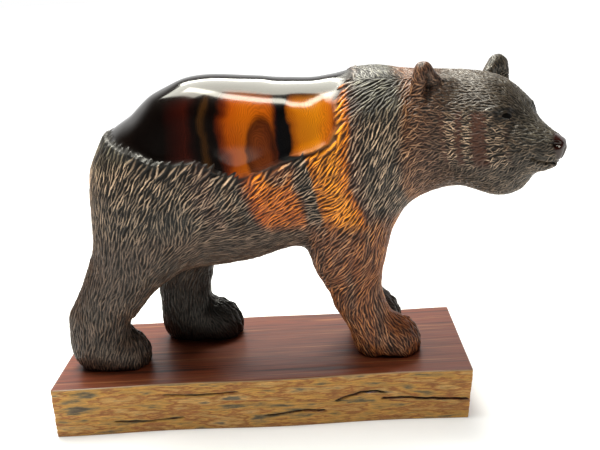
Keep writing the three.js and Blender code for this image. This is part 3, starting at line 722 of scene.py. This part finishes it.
# The pale ridges are wax and wear with a painted highlight, laid on by ridge height and stroke by stroke.
wax_and_highlight = add(
    wood, "MapRange", {0: marked["ridge"], 1: WAX_AND_HIGHLIGHT_FROM_RIDGE, 2: WAX_AND_HIGHLIGHT_TO_RIDGE, 3: 0.0, 4: MOST_WAX_AND_HIGHLIGHT}
).outputs[0]
wax_and_highlight_of_stroke = add(wood, "MapRange", {0: marked["tone"], 3: THIN_WAX_AND_HIGHLIGHT, 4: THICK_WAX_AND_HIGHLIGHT}).outputs[0]
wax_and_highlight_of_cheek = add(wood, "MapRange", {0: marked["cheek"], 3: 1.0, 4: CHEEK_WAX_AND_HIGHLIGHT}).outputs[0]
for share in (wax_and_highlight_of_stroke, unpolished, marked["column"], wax_and_highlight_of_cheek, far_leg_shade):
    wax_and_highlight = add(wood, "Math", {0: wax_and_highlight, 1: share}, operation="MULTIPLY").outputs[0]

# The painted highlight is tinted by how far the skin faces up and is golden on orange wood. It grows up the
# flank towards the saddle, is stronger on the forelegs than on the hind legs and stronger on the cheeks, and
# is weaker on top and on orange wood.
on_top = add(wood, "MapRange", {0: marked["up"], 1: TOP_UP_FROM, 2: TOP_UP_TO}).outputs[0]
base_red = add(wood, "SeparateXYZ", {0: base}).outputs[0]
is_orange = add(wood, "MapRange", {0: base_red, 1: ORANGE_FROM, 2: ORANGE_FULL}).outputs[0]
plain_highlight_tint = add(
    wood, "Mix", {0: on_top, 6: linear(SIDE_WAX_HIGHLIGHT), 7: linear(TOP_WAX_HIGHLIGHT)}, data_type="RGBA"
).outputs[2]
highlight_tint = add(wood, "Mix", {0: is_orange, 6: plain_highlight_tint, 7: linear(ORANGE_WAX_HIGHLIGHT)}, data_type="RGBA").outputs[2]
highlight_on_legs = add(wood, "MapRange", {0: is_fore, 3: HIND_LEG_HIGHLIGHT, 4: FORELEG_HIGHLIGHT}).outputs[0]
highlight_on_body = add(
    wood, "MapRange", {0: z_mm, 1: HIGHLIGHT_RISES_FROM, 2: HIGHLIGHT_RISES_TO, 3: highlight_on_legs, 4: FLANK_HIGHLIGHT}
).outputs[0]
on_body = add(wood, "MapRange", {0: x_mm, 1: NECK_FROM, 2: NECK_TO, 3: 1.0, 4: 0.0}).outputs[0]
highlight_strength = add(wood, "Mix", {0: on_body, 2: HEAD_HIGHLIGHT, 3: highlight_on_body}, data_type="FLOAT").outputs[0]
highlight_on_cheek = add(wood, "MapRange", {0: marked["cheek"], 3: 1.0, 4: CHEEK_HIGHLIGHT}).outputs[0]
highlight_on_top = add(wood, "MapRange", {0: on_top, 3: 1.0, 4: TOP_HIGHLIGHT}).outputs[0]
highlight_on_orange = add(
    wood, "MapRange", {0: base_red, 1: ORANGE_FROM, 2: ORANGE_MOST, 3: 1.0, 4: ORANGE_HIGHLIGHT}
).outputs[0]
for share in (highlight_on_cheek, highlight_on_top, highlight_on_orange):
    highlight_strength = add(wood, "Math", {0: highlight_strength, 1: share}, operation="MULTIPLY").outputs[0]
highlight_colour = add(wood, "VectorMath", {0: highlight_tint, "Scale": highlight_strength}, operation="SCALE").outputs[0]
rubbed_and_highlit = add(wood, "VectorMath", {0: base, "Scale": RUBBED_AND_HIGHLIT_WOOD}, operation="SCALE").outputs[0]
wax_and_highlight_colour = add(wood, "VectorMath", {0: rubbed_and_highlit, 1: highlight_colour}, operation="ADD").outputs[0]
with_wax_and_highlight = add(wood, "Mix", {0: wax_and_highlight, 6: fur_colour, 7: wax_and_highlight_colour}, data_type="RGBA").outputs[2]

# Smooth red-brown wood shows between the columns of the cheeks. The nose pad is dark red and the eyes
# are black, and the same black is painted as shade into the eye sockets, over the upper lids, in the
# nostrils and in the cuts of the face. The back shines like glass and less at its edge, the fur has a
# dull wax shine.

CHEEK_WOOD, NOSE_WOOD, EYE_AND_SHADE_BLACK = "4e2a1c", "260b06", "060403"
CHEEK_WOOD_SHARE = 0.72
CHEEK_WOOD_GROOVE_SHADE, CHEEK_WOOD_RIDGE_HIGHLIGHT = 0.5, 1.6
BACK_ROUGHNESS, EDGE_ROUGHNESS, WET_ROUGHNESS = 0.12, 0.40, 0.20
GROOVE_ROUGHNESS, STROKE_ROUGHNESS = 0.7, 0.34
WAX_IOR = 1.48
WAX_SHEEN_TINT = (1.0, 0.96, 0.88, 1)

between = add(wood, "Math", {0: 1.0, 1: marked["column"]}, operation="SUBTRACT").outputs[0]
between_share = add(wood, "Math", {0: between, 1: CHEEK_WOOD_SHARE}, operation="MULTIPLY").outputs[0]
# Between the columns, painted shade darkens the hollows of the cuts and a painted highlight lightens their
# ridges.
between_light_and_shade = add(wood, "MapRange", {0: marked["ridge"], 3: CHEEK_WOOD_GROOVE_SHADE, 4: CHEEK_WOOD_RIDGE_HIGHLIGHT}).outputs[0]
between_wood = add(
    wood, "VectorMath", {0: linear(CHEEK_WOOD)[:3], "Scale": between_light_and_shade}, operation="SCALE"
).outputs[0]
columned = add(wood, "Mix", {0: between_share, 6: with_wax_and_highlight, 7: between_wood}, data_type="RGBA").outputs[2]
nosed = add(wood, "Mix", {0: marked["nose"], 6: columned, 7: linear(NOSE_WOOD)}, data_type="RGBA").outputs[2]
skin_colour = add(
    wood, "Mix", {0: marked["dark"], 6: nosed, 7: linear(EYE_AND_SHADE_BLACK)}, data_type="RGBA"
).outputs[2]
back_gloss = add(wood, "MapRange", {0: marked["rim"], 3: BACK_ROUGHNESS, 4: EDGE_ROUGHNESS}).outputs[0]
stroke_gloss = add(
    wood, "MapRange", {0: marked["ridge"], 1: 0.2, 2: 0.7, 3: GROOVE_ROUGHNESS, 4: STROKE_ROUGHNESS}
).outputs[0]
dry_gloss = add(wood, "MapRange", {0: marked["polish"], 3: stroke_gloss, 4: back_gloss}).outputs[0]
gloss = add(wood, "MapRange", {0: marked["wet"], 3: dry_gloss, 4: WET_ROUGHNESS}).outputs[0]
skin = add(wood, "BsdfPrincipled", {"Base Color": skin_colour, "Roughness": gloss})
skin.inputs["IOR"].default_value = WAX_IOR
skin.inputs["Specular Tint"].default_value = WAX_SHEEN_TINT
add(wood, "OutputMaterial", {"Surface": skin.outputs[0]})

for piece in bear_pieces:
    piece.data.materials.clear()
    piece.data.materials.append(ironwood)
    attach(piece, "root")
    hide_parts("bear")

# Plinth: a block of the same ironwood, sawn by eye, with its top planed, oiled and rubbed. Its front and
# ends keep the sawn, weathered surface of the log, with drying cracks along the grain. The soles are
# glued to it.

BLOCK_LENGTH, BLOCK_DEPTH, BLOCK_HEIGHT = 260, 85, 34
END_LEAN = 2.5
SIDE_WANDER = 0.8
SIDE_WANDER_PITCH = 0.047
WORN_EDGE = 0.9 * MM
CUTS = {0: (9, 15), 1: (8, 8), 2: (6, 7)}
LONG_EDGE = 2 * MM
STRAIGHT_WITHIN = 0.01 * MM

bpy.ops.object.select_all(action="DESELECT")
bpy.ops.mesh.primitive_cube_add(size=1, location=(0, 0, BLOCK_HEIGHT / 2 * MM))
plinth = bpy.context.object
plinth.name = "sawn_plinth"
bpy.ops.transform.resize(value=(BLOCK_LENGTH * MM, BLOCK_DEPTH * MM, BLOCK_HEIGHT * MM))
bpy.ops.object.transform_apply(location=True, rotation=True, scale=True)
bpy.ops.object.mode_set(mode="EDIT")
bpy.ops.mesh.select_all(action="SELECT")
bpy.ops.mesh.bevel(offset=WORN_EDGE, segments=2, affect="EDGES")
bpy.ops.object.mode_set(mode="OBJECT")
for axis, counts in CUTS.items():
    for cuts in counts:
        edges = plinth.data.edges
        corners = plinth.data.vertices
        along_axis = []
        for edge in edges:
            step = corners[edge.vertices[1]].co - corners[edge.vertices[0]].co
            across_step = math.hypot(step[(axis + 1) % 3], step[(axis + 2) % 3])
            along_axis.append(abs(step[axis]) > LONG_EDGE and across_step < STRAIGHT_WITHIN)
        bpy.ops.object.mode_set(mode="EDIT")
        bpy.ops.mesh.select_mode(type="EDGE")
        bpy.ops.mesh.select_all(action="DESELECT")
        bpy.ops.object.mode_set(mode="OBJECT")
        edges.foreach_set("select", along_axis)
        bpy.ops.object.mode_set(mode="EDIT")
        bpy.ops.mesh.subdivide(number_cuts=cuts)
        bpy.ops.object.mode_set(mode="OBJECT")

# Drying cracks in the front: the depth of each, and its path along the face as (x, z).

CRACKS = [
    (1.6, [(47, 16.5), (55, 19.5), (64, 21.5), (72, 21.6), (77, 20)]),
    (1.8, [(76, 16), (88, 16.4), (100, 15), (114, 14.6), (128, 13.8)]),
    (1.2, [(2, 8.6), (12, 9.6), (26, 11.3), (39, 10.2)]),
    (0.9, [(-92, 9), (-70, 8), (-50, 9.5)]),
    (0.9, [(-60, 26), (-38, 25), (-15, 26.5)]),
]
CRACK_REACH = 0.55
CRACK_WOBBLE, WOBBLE_PITCH = 0.5, 0.22
SAWN_RELIEF = 0.35
PLANED_RELIEF = 0.12

block = points_of(plinth)
block_normals = normals_of(plinth)
front = smoothstep(-0.7, -0.95, block_normals[:, 1])
rough_face = np.clip(1 - np.abs(block_normals[:, 2]) * 1.4, 0, 1)
sawn_marks = np.array([
    noise.noise((x * 0.06, y * 0.06, z * 0.5)) + 0.6 * noise.noise((x * 0.25, y * 0.25, z * 1.3))
    for x, y, z in block.tolist()
])
planed_marks = np.array([noise.noise((x * 0.012, y * 0.35, 5)) for x, y, z in block.tolist()])
up_face = smoothstep(0.7, 0.95, block_normals[:, 2])
block_relief = SAWN_RELIEF * (sawn_marks - 0.5) * rough_face
block_relief += PLANED_RELIEF * (planed_marks - 0.3) * up_face
wobble = np.array([CRACK_WOBBLE * noise.noise((x * WOBBLE_PITCH, 3, 7)) for x in block[:, 0].tolist()])
on_front = np.stack([block[:, 0], block[:, 2] + wobble], axis=1)
crack_depth = np.zeros(len(block))
for depth, path in CRACKS:
    crack_depth = np.maximum(crack_depth, depth * bell(distance_to(path, on_front), CRACK_REACH))
block_relief -= crack_depth * front
down = 1 - block[:, 2] / BLOCK_HEIGHT
lean_in = down * np.where(block[:, 0] > 0, END_LEAN, END_LEAN / 2) * np.abs(block[:, 0]) / BLOCK_LENGTH * 2
wander_y = SIDE_WANDER * np.sin(block[:, 0] * SIDE_WANDER_PITCH + block[:, 1] * 0.05)
block += block_normals * np.minimum(block_relief, 0)[:, None]
block[:, 0] -= lean_in
block[:, 1] += wander_y * np.abs(block[:, 1]) / BLOCK_DEPTH * 2
move_points(plinth, block)
# The cracks get painted shade, as deep as they are cut.
mark(plinth, "crack_shade", np.clip(crack_depth * front, 0, 1))
mark(plinth, "worn", smoothstep(0.25, 0.45, np.abs(block_normals[:, 2]) * np.abs(block_normals[:, 1])))
pick_only(plinth)
bpy.ops.object.shade_smooth_by_angle(angle=math.radians(40))

# Ironwood, sawn and oiled: a golden brown, weathered front and ends with rust and olive streaks along
# the grain, and a dark red-brown top with a straight, fine grain and a soft gloss. Its fibres are finer
# in the real wood. They are drawn coarser here, so that they show.

SIDE_WOOD = [
    (0.30, "4c3a28"), (0.37, "6e5e3e"), (0.42, "b08440"), (0.47, "cc9640"), (0.52, "9a5a28"), (0.56, "b8843c"),
    (0.61, "d0a058"), (0.68, "6e6048"),
]
TOP_WOOD = [
    (0.3, "2e140c"), (0.42, "582a18"), (0.50, "7a3a20"), (0.56, "58281a"), (0.64, "8a5230"), (0.75, "9c7048"),
]
STREAK_GRAIN = (0.030, 0.10, 0.17)
FIBRE_GRAIN = (0.10, 0.5, 1.3)
TOP_GRAIN = (0.008, 0.40, 0.2)
FIBRE_DARK, FIBRE_PALE = 0.60, 1.28
WORN_WOOD, CRACK_SHADE = "a08460", "0c0805"
SIDE_ROUGHNESS, TOP_ROUGHNESS = 0.62, 0.36
OIL_IOR = 1.5

sawn, block_wood, millimetres = start_material("ironwood_sawn_and_oiled")
streak_place = add(block_wood, "Mapping", {0: millimetres, "Scale": STREAK_GRAIN}).outputs[0]
streaks = add(block_wood, "TexNoise", {"Vector": streak_place, "Scale": 1.0, "Detail": 6.0, "Roughness": 0.60})
side_colour = add(block_wood, "ValToRGB", {0: streaks.outputs[0]})
set_ramp(side_colour, SIDE_WOOD)
fibre_place = add(block_wood, "Mapping", {0: millimetres, "Scale": FIBRE_GRAIN}).outputs[0]
fibres = add(block_wood, "TexNoise", {"Vector": fibre_place, "Scale": 1.0, "Detail": 4.0, "Roughness": 0.7})
fibre_tone = add(
    block_wood, "MapRange", {0: fibres.outputs[0], 1: 0.3, 2: 0.7, 3: FIBRE_DARK, 4: FIBRE_PALE}
).outputs[0]
side_fibred = add(
    block_wood, "VectorMath", {0: side_colour.outputs[0], "Scale": fibre_tone}, operation="SCALE"
).outputs[0]
grain_place = add(block_wood, "Mapping", {0: millimetres, "Scale": TOP_GRAIN}).outputs[0]
grain = add(block_wood, "TexNoise", {"Vector": grain_place, "Scale": 1.0, "Detail": 5.0, "Roughness": 0.6})
top_colour = add(block_wood, "ValToRGB", {0: grain.outputs[0]})
set_ramp(top_colour, TOP_WOOD)
block_facing = add(block_wood, "NewGeometry").outputs["Normal"]
facing_up = add(block_wood, "SeparateXYZ", {0: block_facing}).outputs[2]
is_top = add(block_wood, "MapRange", {0: facing_up, 1: 0.6, 2: 0.8}).outputs[0]
block_colour = add(
    block_wood, "Mix", {0: is_top, 6: side_fibred, 7: top_colour.outputs[0]}, data_type="RGBA"
).outputs[2]
# Pale wear on the worn edges, and painted shade in the cracks.
for name, colour in {"worn": WORN_WOOD, "crack_shade": CRACK_SHADE}.items():
    share = add(block_wood, "Attribute", attribute_name=name).outputs["Fac"]
    block_colour = add(
        block_wood, "Mix", {0: share, 6: block_colour, 7: linear(colour)}, data_type="RGBA"
    ).outputs[2]
block_gloss = add(block_wood, "MapRange", {0: is_top, 3: SIDE_ROUGHNESS, 4: TOP_ROUGHNESS}).outputs[0]
grain_bump = add(block_wood, "Bump", {"Strength": 0.35, "Distance": 0.3 * MM, "Height": grain.outputs[0]})
block_skin = add(block_wood, "BsdfPrincipled", {
    "Base Color": block_colour, "Roughness": block_gloss, "Normal": grain_bump.outputs[0],
})
block_skin.inputs["IOR"].default_value = OIL_IOR
add(block_wood, "OutputMaterial", {"Surface": block_skin.outputs[0]})
plinth.data.materials.clear()
plinth.data.materials.append(sawn)
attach(plinth, "root")
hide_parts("plinth")

# Floor: plain white paper. It glows a little by itself, more with the distance, so that it fades into
# the white behind.

FLOOR_SIZE = 30
PAPER = "e0e0e0"
GLOW_FROM, GLOW_TO = 0.15, 1.2
GLOW_NEAR, GLOW_FAR = 0.30, 1.0

bpy.ops.mesh.primitive_plane_add(size=FLOOR_SIZE, location=(0, 0, 0))
floor = bpy.context.object
floor.name = "floor"
paper = bpy.data.materials.new("white_paper")
paper.use_nodes = True
floor_skin = paper.node_tree.nodes["Principled BSDF"]
floor_skin.inputs["Base Color"].default_value = linear(PAPER)
floor_skin.inputs["Roughness"].default_value = 0.9
floor_skin.inputs["Specular IOR Level"].default_value = 0.0
floor_skin.inputs["Emission Color"].default_value = (1, 1, 1, 1)
floor_place = add(paper.node_tree, "TexCoord").outputs["Object"]
from_middle = add(paper.node_tree, "VectorMath", {0: floor_place}, operation="LENGTH").outputs["Value"]
paper_glow = add(
    paper.node_tree, "MapRange", {0: from_middle, 1: GLOW_FROM, 2: GLOW_TO, 3: GLOW_NEAR, 4: GLOW_FAR}
)
paper.node_tree.links.new(paper_glow.outputs[0], floor_skin.inputs["Emission Strength"])
floor.data.materials.append(paper)

# Surroundings: bright behind and low down all round, dark in front and overhead, and white where the
# camera sees them.

BEHIND_DARK, BEHIND_BRIGHT = 0.07, 1.2
LOW_BRIGHT = 0.6
OVERHEAD_SHARE = 0.10

world = bpy.data.worlds.new("studio")
bpy.context.scene.world = world
world.use_nodes = True
sky = world.node_tree
sky.nodes.clear()
sky_direction = add(sky, "TexCoord").outputs["Generated"]
sky_y, sky_z = add(sky, "SeparateXYZ", {0: sky_direction}).outputs[1:]
behind = add(sky, "MapRange", {0: sky_y, 1: 0.05, 2: 0.5, 3: BEHIND_DARK, 4: BEHIND_BRIGHT}).outputs[0]
low_down = add(sky, "MapRange", {0: sky_z, 1: 0.05, 2: 0.0, 3: 0.0, 4: LOW_BRIGHT}).outputs[0]
high_up = add(sky, "MapRange", {0: sky_z, 1: 0.45, 2: 0.7, 3: 1.0, 4: OVERHEAD_SHARE}).outputs[0]
glow = add(sky, "Math", {0: behind, 1: high_up}, operation="MULTIPLY").outputs[0]
all_round = add(sky, "Math", {0: glow, 1: low_down}, operation="MAXIMUM").outputs[0]
seen = add(sky, "LightPath").outputs["Is Camera Ray"]
strength = add(sky, "MapRange", {0: seen, 3: all_round, 4: 1.0}).outputs[0]
backdrop = add(sky, "Background", {"Color": (1, 1, 1, 1), "Strength": strength})
add(sky, "OutputWorld", {"Surface": backdrop.outputs[0]})

# Light: three soft boxes above and behind, which give the bands of light along the polished back. Each
# has its place, its size and its brightness.

SOFTBOXES = [
    ("rear_strip", (-0.075, 0.44, 0.80), (0.60, 0.12), 22),
    ("wide_panel", (-0.075, 0.18, 0.82), (0.60, 0.52), 11),
    ("front_strip", (-0.075, -0.09, 0.80), (0.60, 0.08), 22),
]
SOFTBOX_COLOUR = (1.0, 1.0, 0.93)
AIM = (0.02, 0.0, 0.15)

for name, at, size, radiance in SOFTBOXES:
    light = bpy.data.lights.new(name, "AREA")
    light.shape = "RECTANGLE"
    light.size, light.size_y = size
    light.color = SOFTBOX_COLOUR
    light.energy = radiance * math.pi * size[0] * size[1]
    softbox = bpy.data.objects.new(name, light)
    bpy.context.scene.collection.objects.link(softbox)
    softbox.location = at
    softbox.rotation_euler = (Vector(at) - Vector(AIM)).to_track_quat("Z", "Y").to_euler()
    softbox.visible_camera = False
bpy.context.scene.view_settings.view_transform = "Standard"
